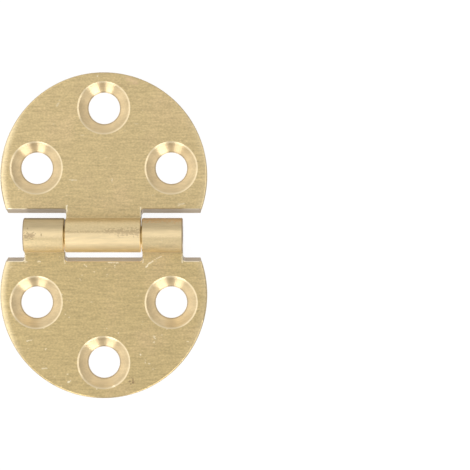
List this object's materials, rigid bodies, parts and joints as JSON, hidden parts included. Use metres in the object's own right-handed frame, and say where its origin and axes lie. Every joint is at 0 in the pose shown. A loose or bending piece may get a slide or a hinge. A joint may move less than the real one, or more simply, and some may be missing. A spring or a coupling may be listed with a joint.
{
  "type": "drop leaf table hinge",
  "caption": "Brass table hinge with round-ended countersunk leaves, interleaved knuckles drawn in one piece with the leaves, and a pin on which a hinged table flap folds.",
  "frame": {"origin": "on the plane of the leaf backs, straight under the middle of the pin", "axes": "+Z out of the countersunk faces, X along the pin, +Y towards the leaf with the single middle knuckle"},
  "size_m": [0.032, 0.0504, 0.0053],
  "materials": {
    "satin_brass": "satin, brushed along the pin",
    "pin_brass": "drawn"
  },
  "bodies": {
    "fixed_leaf": {"double_knuckle_leaf": "satin_brass", "hinge_pin": "pin_brass"},
    "swing_leaf": {"single_knuckle_leaf": "satin_brass"}
  },
  "joints": [
    {"name": "pin_hinge", "type": "hinge", "parent": "fixed_leaf", "child": "swing_leaf", "pos_m": [0, 0, 0.00265], "axis": [1, 0, 0], "range_deg": [-100, 180]}
  ]
}
